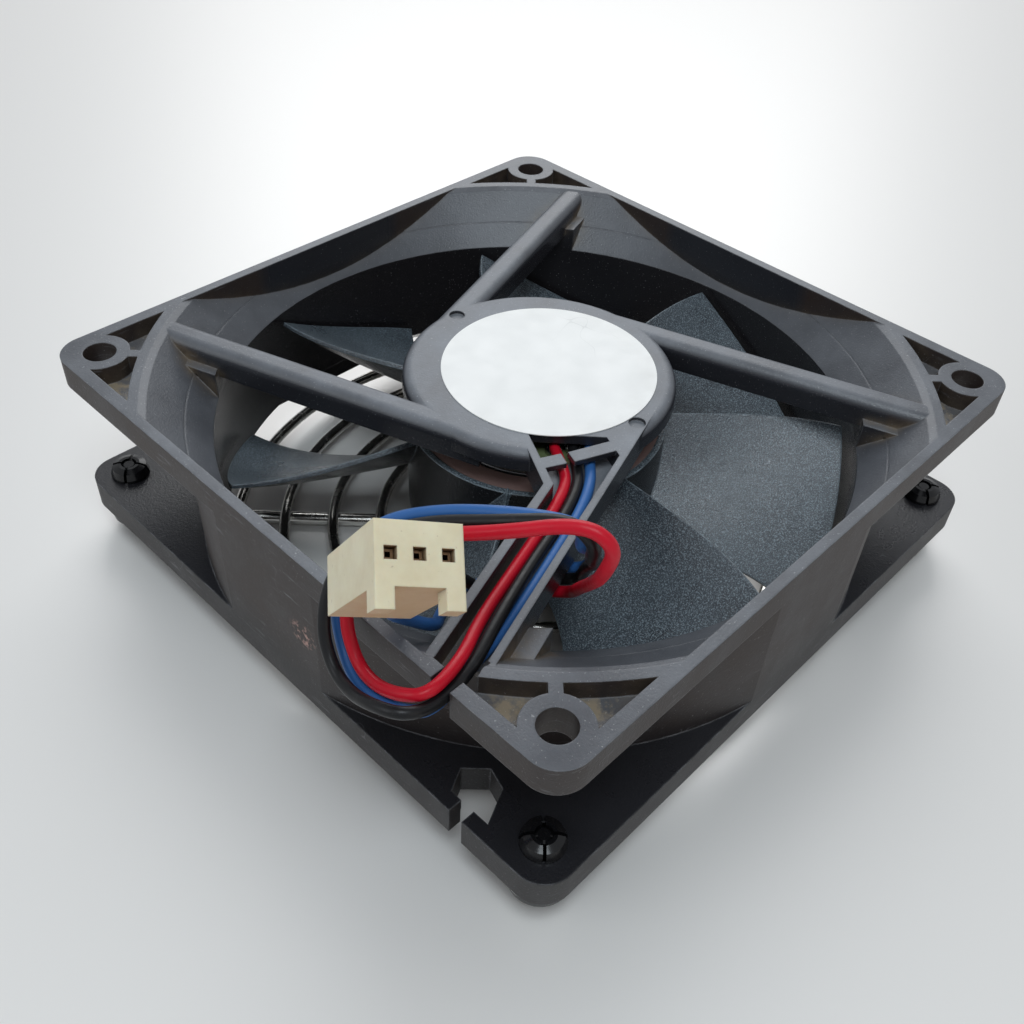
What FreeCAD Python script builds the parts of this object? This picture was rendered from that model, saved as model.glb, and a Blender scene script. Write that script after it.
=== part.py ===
"""A 92 mm axial cooling fan with a plated wire finger guard and a three-lead plug.

Millimetres, +Z up along the fan's axis. The fan lies on its guard with the exhaust side, its
struts and its bare label up. The origin is on the table under the middle of the fan.
"""
import FreeCAD, Part
import math
import os

# Square frame: two flanges joined by a round duct that the square clips flat on four sides.
FRAME_SIDE = 92.0
FRAME_DEPTH = 25.4
FRAME_LIFT = 5.0
CORNER_RADIUS = 4.0
UPPER_FLANGE = 4.0
LOWER_FLANGE = 4.3
SIDE_WALL = 1.4
DUCT_RADIUS = 46.9
THROAT_RADIUS = 43.6
EXHAUST_FLARE_RADIUS = 51.0
EXHAUST_FLARE_DEPTH = 6.8
EXHAUST_LIP_RADIUS = 51.9
EXHAUST_LIP_DEPTH = 0.4
INTAKE_FLARE_RADIUS = 47.6
INTAKE_FLARE_DEPTH = 3.4
HOLE_PITCH = 82.5
HOLE_RADIUS = 2.15
RIVET_HOLE_RADIUS = 2.35

# Coring of the flange corners: a boss round each hole, a rib to the flare wall, two pockets.
POCKET_DEPTH = 2.6
POCKET_RIM = 1.8
FLARE_WALL_RADIUS = 53.2
BOSS_RADIUS = 3.9
RIB_WIDTH = 1.5

# Struts leave the motor base along tangents, a quarter turn apart. The third is the lead channel.
STRUT_ANGLE = 19.0
STRUT_OFFSET = 16.0
STRUT_WIDTH = 4.2
STRUT_HEIGHT = 4.0
STRUT_ROUND = 1.6
STRUT_DROP = 0.2
STRUT_REACH = 56.0
GUSSET_WIDTH = 6.8
GUSSET_TOP_DROP = 3.0
GUSSET_FOOT_DROP = 8.0
CHANNEL_TURN = 180.0
CHANNEL_NEAR = 10.1
CHANNEL_FAR = 17.1
CHANNEL_NEAR_WALL = 1.1
CHANNEL_FAR_WALL = 0.9
CHANNEL_FLOOR = 1.1
LEAD_NOTCH = (-31.4, -28.7)
LEAD_NOTCH_REACH = 5.6

# Motor base: a shallow cup that closes the motor, with an opening where the leads come out.
BASE_RADIUS = 18.5
BASE_HEIGHT = 2.7
BASE_ROUND = 1.5
BASE_PLATE = 1.4
BASE_WALL = 1.6
DIMPLE_RADIUS = 1.1
DIMPLE_DEPTH = 0.5
DIMPLE_CIRCLE = 16.6
DIMPLE_ANGLES = (88.7, 271.5)
LABEL_RADIUS = 14.5
LABEL_THICKNESS = 0.12
LABEL_SHIFT = (0.7, -1.0)

# Impeller: a cup-shaped hub with seven twisted blades.
BLADE_COUNT = 7
BLADE_TIP_RADIUS = 42.6
BLADE_ROOT_STATION = 15.2
BLADE_TIP_STATION = 43.2
BLADE_STATIONS = 7
BLADE_TRAILING_ANGLE = 17.4
BLADE_SWEEP = -2.2
BLADE_BOW = 2.7
BLADE_FIRST_ANGLE = -63.0
BLADE_ROOT_PITCH = 46.8
BLADE_TIP_PITCH = 23.6
BLADE_TOP_ROOT = 23.0
BLADE_TOP_TIP = 22.6
BLADE_FOOT = 10.3
BLADE_CAMBER = 0.06
BLADE_ROOT_THICKNESS = 1.7
BLADE_TIP_THICKNESS = 1.1
HUB_RADIUS = 18.0
HUB_BORE = 17.2
HUB_FOOT = 6.6
HUB_END_WALL = 1.8
HUB_RIM = 23.0
HUB_ROUND = 1.6

# Rotor iron: a steel cup with a ring magnet whose lip covers the cup's edge, carried by a bush on the shaft.
YOKE_WALL = 0.8
YOKE_RADIUS = HUB_BORE - 0.04
YOKE_TOP = 22.2
MAGNET_RADIUS = YOKE_RADIUS - YOKE_WALL - 0.04
MAGNET_BORE = 14.2
MAGNET_LOW = 12.5
MAGNET_TOP = 22.8
BUSH_RADIUS = 3.6
BUSH_TOP = 12.3
SHAFT_RADIUS = 1.5
SHAFT_TOP = 29.6
FIT_GAP = 0.02

# Two ball bearings, 3 x 8 x 4, at the ends of a brass tube.
TUBE_RADIUS = 5.0
TUBE_LOW = 13.0
TUBE_TOP = 29.9
TUBE_WAIST = 3.5
BEARING_RADIUS = 4.0
BEARING_WIDTH = 4.0
LOWER_BEARING = 13.5
UPPER_BEARING = 25.0
BALL_COUNT = 7
BALL_RADIUS = 0.75
BALL_CIRCLE = 2.65
GROOVE_RADIUS = 0.80
INNER_RACE_RADIUS = 2.15
OUTER_RACE_BORE = 3.15
CAGE_OUTER = 2.85
CAGE_INNER = 2.45
CAGE_THICKNESS = 0.3
CLIP_RADIUS = 2.5
CLIP_GROOVE_RADIUS = 1.2
CLIP_LOW = 29.2
CLIP_THICKNESS = 0.3
CLIP_GAP = 1.4

# Stator: a four-pole stack between two bobbin halves, wound, taped and wired to a round board.
STATOR_LOW = 17.0
STATOR_TOP = 23.0
STATOR_RING = 7.2
POLE_COUNT = 4
POLE_ANGLE = 8.0
POLE_WIDTH = 3.4
POLE_NECK = 12.2
POLE_RADIUS = 13.6
POLE_SPREAD = 37.0
BOBBIN_PLATE = 0.8
BOBBIN_RADIUS = 13.2
BOBBIN_LIP = 1.3
BOBBIN_LIP_SPREAD = 30.0
TAPE_SPREAD = 9.0
TAPE_MARGIN = 1.5
COIL_INNER = 7.6
COIL_OUTER = 11.5
COIL_WIDTH = 7.2
COIL_OVERHANG = 1.3
COIL_ROUND = 1.1
BOARD_RADIUS = 15.8
BOARD_LOW = 25.9
BOARD_THICKNESS = 0.8
BOARD_BORE = 5.4
CHIP_SIZE = (4.9, 3.9, 1.2)
CHIP_PLACE = (9.6, 4.5)
SENSOR_SIZE = (2.9, 1.6, 1.0)
SENSOR_PLACE = (8.2, 10.9)
RESISTOR_SIZE = (1.6, 0.8, 0.45)
RESISTOR_PLACES = ((8.2, -3.0), (8.2, -5.0), (3.4, 10.6), (-3.2, 11.4))
CAPACITOR_RADIUS = 1.5
CAPACITOR_HEIGHT = 1.1
CAPACITOR_PLACE = (0.1, 12.2)
PIN_RADIUS = 0.3
PIN_CIRCLE = 10.6

# Wire finger guard under the intake: welded rings on four support wires that end in eyelets.
GUARD_RING_RADII = (43.6, 36.5, 29.4, 22.3, 15.2, 8.1)
GUARD_RING_WIRE = 0.8
GUARD_RING_HEIGHT = 2.72
SUPPORT_WIRE = 1.0
SUPPORT_START = 6.6
SUPPORT_BEND_LOW = 47.6
SUPPORT_BEND_HIGH = 52.0
SUPPORT_BEND_RADIUS = 2.6
EYELET_RADIUS = 3.3
EYELET_HEIGHT = 3.98

# Nylon snap rivets that hold the guard: a split body and a pin that spreads it.
RIVET_HEAD_RADIUS = 3.8
RIVET_HEAD_LOW = 1.5
RIVET_HEAD_TOP = 2.9
RIVET_SHANK_RADIUS = 2.15
RIVET_BARB_RADIUS = 2.7
RIVET_BARB_LOW = 9.4
RIVET_TIP = 11.1
RIVET_TIP_RADIUS = 1.5
RIVET_DOME = 0.35
RIVET_BORE = 1.05
RIVET_SLIT = 0.4
RIVET_SLIT_LOW = 4.6
PIN_HEAD_RADIUS = 2.4
PIN_HEAD_LOW = 0.7
RIVET_PIN_TOP = 10.9

# Three-way crimp housing on the leads. It leans out over the frame's edge, held up by the leads.
PLUG_WIDTH = 7.9
PLUG_HALF_HEIGHT = 2.8
PLUG_LENGTH = 13.1
PLUG_LEG_DROP = 1.9
PLUG_LEG_WIDTH = 1.7
PLUG_LEG_DEPTH = 2.0
PLUG_PITCH = 2.54
PLUG_HOLE = 1.15
PLUG_CAVITY = 1.9
PLUG_CAVITY_DEPTH = 6.0
PLUG_FRONT = (-49.3, -31.2, 51.7)
PLUG_FACING = (-0.04, -0.592, 0.805)
PLUG_ROW = (0.83, -0.468, -0.303)
CONTACT_SIZE = 0.95
CONTACT_FRONT = 0.8
CRIMP_RADIUS = 0.75
CRIMP_LENGTH = 4.2

LEAD_RADIUS = 0.7
ARC_SHARE = 0.45

HALF_SIDE = FRAME_SIDE / 2
INNER_WALL = HALF_SIDE - SIDE_WALL
FRAME_TOP = FRAME_LIFT + FRAME_DEPTH
UPPER_FLANGE_LOW = FRAME_TOP - UPPER_FLANGE
LOWER_FLANGE_TOP = FRAME_LIFT + LOWER_FLANGE
HALF_PITCH = HOLE_PITCH / 2
BASE_TOP = FRAME_TOP - STRUT_DROP
BASE_LOW = BASE_TOP - STRUT_HEIGHT
BASE_PLATE_LOW = BASE_TOP - BASE_PLATE
BOARD_TOP = BOARD_LOW + BOARD_THICKNESS
CHANNEL_FLOOR_TOP = BASE_LOW + CHANNEL_FLOOR
CORNERS = ((1, 1), (-1, 1), (-1, -1), (1, -1))
MARGIN = 1.0

os.makedirs("parts", exist_ok=True)


def vec(x, y, z=0.0):
    """A FreeCAD vector."""
    return FreeCAD.Vector(x, y, z)


def cylinder(radius, low, high, x=0.0, y=0.0):
    """An upright cylinder between two heights."""
    return Part.makeCylinder(radius, high - low, vec(x, y, low))


def tube(outer, inner, low, high, x=0.0, y=0.0):
    """An upright tube between two heights."""
    return cylinder(outer, low, high, x, y).cut(cylinder(inner, low - MARGIN, high + MARGIN, x, y))


def block(x, y, low, high):
    """An upright block from the x range, the y range and two heights."""
    return Part.makeBox(x[1] - x[0], y[1] - y[0], high - low, vec(x[0], y[0], low))


def prism(points, low, high):
    """An upright prism over a plan outline."""
    corners = [vec(x, y, low) for x, y in points]
    outline = Part.makePolygon(corners + corners[:1])
    return Part.Face(outline).extrude(vec(0, 0, high - low))


def revolve(profile):
    """A turned solid from a closed outline of radius and height."""
    corners = [vec(r, 0, z) for r, z in profile]
    outline = Part.makePolygon(corners + corners[:1])
    return Part.Face(outline).revolve(vec(0, 0, 0), vec(0, 0, 1), 360)


def turned(shape, degrees):
    """A copy turned about the fan's axis."""
    copy = shape.copy()
    copy.rotate(vec(0, 0, 0), vec(0, 0, 1), degrees)
    return copy


def moved(shape, x, y, z=0.0):
    """A copy moved by the given distances."""
    copy = shape.copy()
    copy.translate(vec(x, y, z))
    return copy


def ring_of(shape, count, start=0.0):
    """Copies of a shape spread evenly round the fan's axis."""
    return [turned(shape, start + 360.0 * i / count) for i in range(count)]


def sector(outer, inner, half_angle, low, high):
    """A piece of a tube, centred on +X and reaching half_angle to each side."""
    reach = 2 * outer
    edge = math.tan(math.radians(half_angle)) * reach
    wedge = prism([(0, 0), (reach, -edge), (reach, edge)], low - MARGIN, high + MARGIN)
    return tube(outer, inner, low, high).common(wedge)


def upright_edges(shape):
    """The straight edges that stand along Z."""
    return [e for e in shape.Edges if len(e.Vertexes) == 2 and e.Vertexes[0].Point.sub(
        e.Vertexes[1].Point).cross(vec(0, 0, 1)).Length < 1e-6]


def circle_edges(shape, height):
    """The closed round edges at one height."""
    return [e for e in shape.Edges if len(e.Vertexes) == 1 and abs(e.Vertexes[0].Z - height) < 1e-6]


def rounded_square(side, radius, low, high):
    """A square slab with round corners."""
    half = side / 2
    slab = block((-half, half), (-half, half), low, high)
    return slab.makeFillet(radius, upright_edges(slab))


def rounded_path(points, share=ARC_SHARE, name=""):
    """A wire of straight runs with an arc at each point, as large as its shorter run allows."""
    corners = [vec(*p) for p in points]
    edges = []
    start = corners[0]
    radii = []
    for before, corner, after in zip(corners, corners[1:], corners[2:]):
        back = before.sub(corner)
        ahead = after.sub(corner)
        run = share * min(back.Length, ahead.Length)
        back.normalize()
        ahead.normalize()
        half_turn = (math.pi - back.getAngle(ahead)) / 2
        radii.append(run / math.tan(half_turn))
        middle = back.add(ahead).normalize()
        depth = radii[-1] * (1 / math.cos(half_turn) - 1)
        into = corner.add(back.multiply(run))
        out = corner.add(ahead.multiply(run))
        edges.append(Part.LineSegment(start, into).toShape())
        edges.append(Part.Arc(into, corner.add(middle.multiply(depth)), out).toShape())
        start = out
    edges.append(Part.LineSegment(start, corners[-1]).toShape())
    if name:
        print(name, "radii", [round(r, 1) for r in radii])
    return Part.Wire(edges)


def rod(wire, radius):
    """A round rod along a wire."""
    first = wire.Edges[0]
    profile = Part.Wire(Part.makeCircle(radius, first.valueAt(first.FirstParameter),
                                        first.tangentAt(first.FirstParameter)))
    return wire.makePipeShell([profile], True, False)


def save(name, *solids):
    """Writes one node: a solid, or a group of separate like solids."""
    shape = solids[0] if len(solids) == 1 else Part.makeCompound(list(solids))
    shape.exportStep("parts/" + name + ".step")
    state = "" if shape.isValid() else "INVALID"
    print(name, len(shape.Solids), "solids", round(shape.Volume, 2), "mm3", state)


# The fan frame, one moulding: flanges, duct, struts, lead channel and motor base.

def flared_bore():
    """The air passage: a round throat that opens into the corners at both faces."""
    passage = cylinder(THROAT_RADIUS, FRAME_LIFT - MARGIN, FRAME_TOP + MARGIN)
    clip = block((-INNER_WALL, INNER_WALL), (-INNER_WALL, INNER_WALL), FRAME_LIFT, FRAME_TOP)
    lip_low = FRAME_TOP - EXHAUST_LIP_DEPTH
    exhaust = Part.makeCone(THROAT_RADIUS, EXHAUST_FLARE_RADIUS, EXHAUST_FLARE_DEPTH - EXHAUST_LIP_DEPTH,
                            vec(0, 0, FRAME_TOP - EXHAUST_FLARE_DEPTH))
    lip = Part.makeCone(EXHAUST_FLARE_RADIUS, EXHAUST_LIP_RADIUS, EXHAUST_LIP_DEPTH, vec(0, 0, lip_low))
    intake = Part.makeCone(INTAKE_FLARE_RADIUS, THROAT_RADIUS, INTAKE_FLARE_DEPTH, vec(0, 0, FRAME_LIFT))
    return passage.fuse([exhaust.common(clip), lip.common(clip), intake.common(clip)])


def corner_pockets(low, high):
    """The pockets that core out a flange: one pair in each corner, split by a rib to the boss."""
    edge = HALF_SIDE - POCKET_RIM
    area = rounded_square(2 * edge, CORNER_RADIUS - POCKET_RIM, low, high)
    pockets = area.cut(cylinder(FLARE_WALL_RADIUS, low - MARGIN, high + MARGIN))
    for sx, sy in CORNERS:
        pockets = pockets.cut(cylinder(BOSS_RADIUS, low - MARGIN, high + MARGIN,
                                       sx * HALF_PITCH, sy * HALF_PITCH))
    rib = block((0, FRAME_SIDE), (-RIB_WIDTH / 2, RIB_WIDTH / 2), low - MARGIN, high + MARGIN)
    return pockets.cut(ring_of(rib, len(CORNERS), 45.0))


def strut():
    """One strut along +X: flat under, rounded over, at its offset from the axis."""
    near = STRUT_OFFSET - STRUT_WIDTH / 2
    far = STRUT_OFFSET + STRUT_WIDTH / 2
    bar = block((0, STRUT_REACH), (near, far), BASE_LOW, BASE_TOP)
    top_edges = [e for e in bar.Edges if all(abs(v.Z - BASE_TOP) < 1e-6 for v in e.Vertexes)
                 and abs(e.Vertexes[0].Y - e.Vertexes[1].Y) < 1e-6]
    return bar.makeFillet(STRUT_ROUND, top_edges)


def gusset():
    """The block that carries a strut's outer end, flush with the throat and buried in the wall."""
    near = STRUT_OFFSET - GUSSET_WIDTH / 2
    far = STRUT_OFFSET + GUSSET_WIDTH / 2
    span = (THROAT_RADIUS / 2, STRUT_REACH)
    upper = block(span, (near, far), UPPER_FLANGE_LOW, FRAME_TOP - GUSSET_TOP_DROP)
    lower = block(span, (near, far), FRAME_TOP - GUSSET_FOOT_DROP, UPPER_FLANGE_LOW)
    lower = lower.common(cylinder(DUCT_RADIUS - MARGIN / 2, FRAME_LIFT, FRAME_TOP))
    throat = cylinder(THROAT_RADIUS, FRAME_LIFT, FRAME_TOP + MARGIN)
    return upper.fuse(lower).cut(throat)


# Plan outlines of the lead channel, in its own axes: along the channel, then out from the fan's axis.
CHANNEL_OUTLINE = ((0, CHANNEL_FAR), (60, CHANNEL_FAR), (60, CHANNEL_NEAR),
                   (21.3, CHANNEL_NEAR), (14.2, 3.8))
CHANNEL_LEFT = CHANNEL_NEAR + CHANNEL_NEAR_WALL
CHANNEL_RIGHT = CHANNEL_FAR - CHANNEL_FAR_WALL
CHANNEL_HOLLOW = ((9.6, 13.5), (12.1, CHANNEL_RIGHT), (62, CHANNEL_RIGHT), (62, CHANNEL_LEFT),
                  (20.8, CHANNEL_LEFT), (13.6, 4.5))
HOOK_WIDTH = 1.9
HOOK_THICKNESS = 0.75
HOOK_LINES = (((18.0, 8.4), (15.9, 10.4)), ((10.6, 15.0), (15.2, 11.1)))


def hook(start, end):
    """A flat finger over the leads, from the channel's side towards the other finger."""
    along = (end[0] - start[0], end[1] - start[1])
    length = math.hypot(*along)
    bar = block((0, length), (-HOOK_WIDTH / 2, HOOK_WIDTH / 2), BASE_TOP - HOOK_THICKNESS, BASE_TOP)
    return moved(turned(bar, math.degrees(math.atan2(along[1], along[0]))), *start)


# Catch for the leads in the lower flange: a through pocket behind the rim, with a mouth in it.
CATCH_OUTLINE = ((-44.1, -29.8), (-41.3, -28.4), (-38.9, -30.8), (-39.8, -33.6), (-44.1, -35.6))
CATCH_MOUTH = (-33.4, -31.4)


def frame():
    """The whole moulding."""
    upper = rounded_square(FRAME_SIDE, CORNER_RADIUS, UPPER_FLANGE_LOW, FRAME_TOP)
    lower = rounded_square(FRAME_SIDE, CORNER_RADIUS, FRAME_LIFT, LOWER_FLANGE_TOP)
    square = block((-HALF_SIDE, HALF_SIDE), (-HALF_SIDE, HALF_SIDE), FRAME_LIFT, FRAME_TOP)
    duct = cylinder(DUCT_RADIUS, FRAME_LIFT, FRAME_TOP).common(square)
    shell = upper.fuse([lower, duct]).cut(flared_bore())

    inside = HALF_SIDE - MARGIN
    reach = block((-inside, inside), (-inside, inside), FRAME_LIFT, FRAME_TOP)
    strut_angles = [STRUT_ANGLE + 90 * i for i in (0, 1, 3)]
    struts = [turned(strut(), a).common(reach) for a in strut_angles]
    gussets = [turned(gusset(), STRUT_ANGLE + 90 * i).common(reach) for i in range(4)]

    cup = cylinder(BASE_RADIUS, BASE_TOP - BASE_HEIGHT, BASE_TOP)
    cup = cup.makeFillet(BASE_ROUND, circle_edges(cup, BASE_TOP))
    channel_angle = STRUT_ANGLE + CHANNEL_TURN
    trough = turned(prism(CHANNEL_OUTLINE, BASE_LOW, BASE_TOP), channel_angle).common(reach)
    moulding = shell.fuse(struts + gussets + [cup, trough])

    cavity = cylinder(BASE_RADIUS - BASE_WALL, BASE_LOW - MARGIN, BASE_PLATE_LOW)
    hollow = turned(prism(CHANNEL_HOLLOW, CHANNEL_FLOOR_TOP, FRAME_TOP + MARGIN), channel_angle)
    rim = HALF_SIDE - POCKET_RIM
    hollow = hollow.common(block((-rim, rim), (-rim, rim), FRAME_LIFT, FRAME_TOP + 2 * MARGIN))
    notch = block((-HALF_SIDE - MARGIN, LEAD_NOTCH_REACH - HALF_SIDE), LEAD_NOTCH, BASE_LOW - MARGIN,
                  FRAME_TOP + MARGIN)
    tube_seat = cylinder(TUBE_RADIUS + FIT_GAP, BASE_LOW, BASE_TOP + MARGIN)
    moulding = moulding.cut([cavity, hollow, notch, tube_seat])
    moulding = moulding.fuse([turned(hook(*line), channel_angle) for line in HOOK_LINES])

    cuts = [corner_pockets(FRAME_TOP - POCKET_DEPTH, FRAME_TOP + MARGIN),
            corner_pockets(FRAME_LIFT - MARGIN, FRAME_LIFT + POCKET_DEPTH)]
    for sx, sy in CORNERS:
        cuts.append(cylinder(HOLE_RADIUS, UPPER_FLANGE_LOW - MARGIN, FRAME_TOP + MARGIN,
                             sx * HALF_PITCH, sy * HALF_PITCH))
        cuts.append(cylinder(RIVET_HOLE_RADIUS, FRAME_LIFT - MARGIN, LOWER_FLANGE_TOP + MARGIN,
                             sx * HALF_PITCH, sy * HALF_PITCH))
    for angle in DIMPLE_ANGLES:
        place = math.radians(angle)
        cuts.append(cylinder(DIMPLE_RADIUS, BASE_TOP - DIMPLE_DEPTH, BASE_TOP + MARGIN,
                             DIMPLE_CIRCLE * math.cos(place), DIMPLE_CIRCLE * math.sin(place)))
    cuts.append(prism(CATCH_OUTLINE, FRAME_LIFT - MARGIN, LOWER_FLANGE_TOP + MARGIN))
    cuts.append(block((-HALF_SIDE - MARGIN, CATCH_OUTLINE[0][0] + MARGIN), CATCH_MOUTH,
                      FRAME_LIFT - MARGIN, LOWER_FLANGE_TOP + MARGIN))
    return moulding.cut(cuts).removeSplitter()


save("frame", frame())
save("label", cylinder(LABEL_RADIUS, BASE_TOP, BASE_TOP + LABEL_THICKNESS, *LABEL_SHIFT))


# The impeller: hub cup and blades, one moulding.

def blade_section(share):
    """A closed blade section across a radius, at a share of the way from root to tip.

    The chord climbs from the leading edge below to the trailing edge above at the section's pitch.
    The trailing edge bows round the axis between root and tip. The mean line sags under the chord,
    and the thickness swells between two blunt edges.
    """
    station = BLADE_ROOT_STATION + share * (BLADE_TIP_STATION - BLADE_ROOT_STATION)
    pitch = math.radians(BLADE_ROOT_PITCH + share * (BLADE_TIP_PITCH - BLADE_ROOT_PITCH))
    top = BLADE_TOP_ROOT + share * (BLADE_TOP_TIP - BLADE_TOP_ROOT)
    thickness = BLADE_ROOT_THICKNESS + share * (BLADE_TIP_THICKNESS - BLADE_ROOT_THICKNESS)
    bow = BLADE_SWEEP * share + BLADE_BOW * 4 * share * (1 - share)
    trailing = station * math.tan(math.radians(BLADE_TRAILING_ANGLE + bow))
    chord = (top - BLADE_FOOT) / math.sin(pitch)
    along = vec(0, -math.cos(pitch), -math.sin(pitch))
    across = vec(0, -math.sin(pitch), math.cos(pitch))
    steps = 6
    faces = {1: [], -1: []}
    for i in range(steps + 1):
        t = i / steps
        swell = math.sqrt(4 * t * (1 - t))
        for side in faces:
            lift = side * thickness * (0.22 + 0.28 * swell) - BLADE_CAMBER * chord * 4 * t * (1 - t)
            point = vec(station, trailing, top).add(along * (chord * t)).add(across * lift)
            faces[side].append(point)
    over = Part.BSplineCurve()
    over.interpolate(faces[1])
    under = Part.BSplineCurve()
    under.interpolate(faces[-1][::-1])
    return Part.Wire([over.toShape(), Part.LineSegment(faces[1][-1], faces[-1][-1]).toShape(),
                      under.toShape(), Part.LineSegment(faces[-1][0], faces[1][0]).toShape()])


def blade():
    """One blade along +X, lofted through its sections and trimmed round at the tip."""
    sections = [blade_section(i / (BLADE_STATIONS - 1)) for i in range(BLADE_STATIONS)]
    loft = Part.makeLoft(sections, True, False)
    return loft.common(cylinder(BLADE_TIP_RADIUS, 0, FRAME_TOP))


def impeller():
    """Hub cup with its blades."""
    hub = cylinder(HUB_RADIUS, HUB_FOOT, HUB_RIM)
    hub = hub.makeFillet(HUB_ROUND, circle_edges(hub, HUB_FOOT))
    whole = hub.fuse(ring_of(blade(), BLADE_COUNT, BLADE_FIRST_ANGLE))
    return whole.cut(cylinder(HUB_BORE, HUB_FOOT + HUB_END_WALL, HUB_RIM + MARGIN)).removeSplitter()


save("impeller", impeller())


# Rotor iron, shaft and its fittings.

IRON_LOW = HUB_FOOT + HUB_END_WALL + FIT_GAP
YOKE_HOLE = BUSH_RADIUS + FIT_GAP
YOKE_BORE = YOKE_RADIUS - YOKE_WALL
save("rotor_yoke", revolve([(YOKE_HOLE, IRON_LOW), (YOKE_RADIUS, IRON_LOW), (YOKE_RADIUS, YOKE_TOP),
                            (YOKE_BORE, YOKE_TOP), (YOKE_BORE, IRON_LOW + YOKE_WALL),
                            (YOKE_HOLE, IRON_LOW + YOKE_WALL)]))
MAGNET_LIP = YOKE_TOP + 2 * FIT_GAP
save("magnet_ring", revolve([(MAGNET_BORE, MAGNET_LOW), (MAGNET_RADIUS, MAGNET_LOW), (MAGNET_RADIUS, MAGNET_LIP),
                             (YOKE_RADIUS, MAGNET_LIP), (YOKE_RADIUS, MAGNET_TOP), (MAGNET_BORE, MAGNET_TOP)]))
save("shaft_bush", tube(BUSH_RADIUS, SHAFT_RADIUS + FIT_GAP, IRON_LOW, BUSH_TOP))
CLIP_TOP = CLIP_LOW + CLIP_THICKNESS
save("shaft", revolve([(0, IRON_LOW), (SHAFT_RADIUS, IRON_LOW), (SHAFT_RADIUS, CLIP_LOW - FIT_GAP),
                       (CLIP_GROOVE_RADIUS, CLIP_LOW - FIT_GAP), (CLIP_GROOVE_RADIUS, CLIP_TOP + FIT_GAP),
                       (SHAFT_RADIUS, CLIP_TOP + FIT_GAP), (SHAFT_RADIUS, SHAFT_TOP - 0.2),
                       (SHAFT_RADIUS - 0.2, SHAFT_TOP), (0, SHAFT_TOP)]))
clip_mouth = block((0, CLIP_RADIUS + MARGIN), (-CLIP_GAP / 2, CLIP_GAP / 2),
                   CLIP_LOW - MARGIN, CLIP_TOP + MARGIN)
clip_ring = tube(CLIP_RADIUS, CLIP_GROOVE_RADIUS + FIT_GAP, CLIP_LOW, CLIP_TOP)
save("retaining_clip", clip_ring.cut(clip_mouth))
SPRING_LOW = BUSH_TOP + FIT_GAP
SPRING_TOP = LOWER_BEARING - FIT_GAP
save("preload_spring", revolve([(1.6, SPRING_LOW), (1.85, SPRING_LOW),
                                (2.1, SPRING_TOP), (1.85, SPRING_TOP)]))


# Ball bearings, tube and the balls that roll between the races.

def inner_race(low):
    """The turning race, pressed on the shaft, with a round groove outside."""
    race = tube(INNER_RACE_RADIUS, SHAFT_RADIUS + FIT_GAP, low, low + BEARING_WIDTH)
    return race.cut(Part.makeTorus(BALL_CIRCLE, GROOVE_RADIUS, vec(0, 0, low + BEARING_WIDTH / 2)))


def outer_race(low):
    """The still race, held in the tube, with a round groove inside."""
    race = tube(BEARING_RADIUS, OUTER_RACE_BORE, low, low + BEARING_WIDTH)
    return race.cut(Part.makeTorus(BALL_CIRCLE, GROOVE_RADIUS, vec(0, 0, low + BEARING_WIDTH / 2)))


def balls(low):
    """The balls of one bearing."""
    ball = Part.makeSphere(BALL_RADIUS, vec(BALL_CIRCLE, 0, low + BEARING_WIDTH / 2))
    return ring_of(ball, BALL_COUNT)


def cage(low):
    """The pressed ring that keeps the balls apart, with a bay for each ball."""
    middle = low + BEARING_WIDTH / 2
    ring = tube(CAGE_OUTER, CAGE_INNER, middle - BALL_RADIUS - CAGE_THICKNESS, middle + BALL_RADIUS)
    bay = Part.makeSphere(BALL_RADIUS + FIT_GAP, vec(BALL_CIRCLE, 0, middle))
    slot = cylinder(BALL_RADIUS + FIT_GAP, middle, middle + BALL_RADIUS + MARGIN, BALL_CIRCLE)
    return ring.cut(ring_of(bay.fuse(slot), BALL_COUNT))


for end, low in (("lower", LOWER_BEARING), ("upper", UPPER_BEARING)):
    save(end + "_bearing_inner_race", inner_race(low))
    save(end + "_bearing_outer_race", outer_race(low))
    save(end + "_bearing_balls", *balls(low))
    save(end + "_bearing_cage", cage(low))

SEAT = BEARING_RADIUS + FIT_GAP
WAIST_LOW = LOWER_BEARING + BEARING_WIDTH + FIT_GAP
WAIST_TOP = UPPER_BEARING - FIT_GAP
save("bearing_tube", revolve([(SEAT, TUBE_LOW), (TUBE_RADIUS, TUBE_LOW), (TUBE_RADIUS, TUBE_TOP),
                              (SEAT, TUBE_TOP), (SEAT, WAIST_TOP), (TUBE_WAIST, WAIST_TOP),
                              (TUBE_WAIST, WAIST_LOW), (SEAT, WAIST_LOW)]))


# Stator stack, bobbin, windings, tape and the drive board.

def pole_plan(outer, spread, low, high, width=POLE_WIDTH):
    """The stack's plan: a ring, an arm for each pole and a curved shoe on each arm."""
    ring = cylinder(STATOR_RING, low, high)
    arm = block((0, (POLE_NECK + outer) / 2), (-width / 2, width / 2), low, high)
    shoe = sector(outer, POLE_NECK, spread, low, high)
    poles = ring_of(arm, POLE_COUNT, POLE_ANGLE) + ring_of(shoe, POLE_COUNT, POLE_ANGLE)
    whole = ring.fuse(poles).cut(cylinder(TUBE_RADIUS + FIT_GAP, low - MARGIN, high + MARGIN))
    return whole.removeSplitter()


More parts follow.
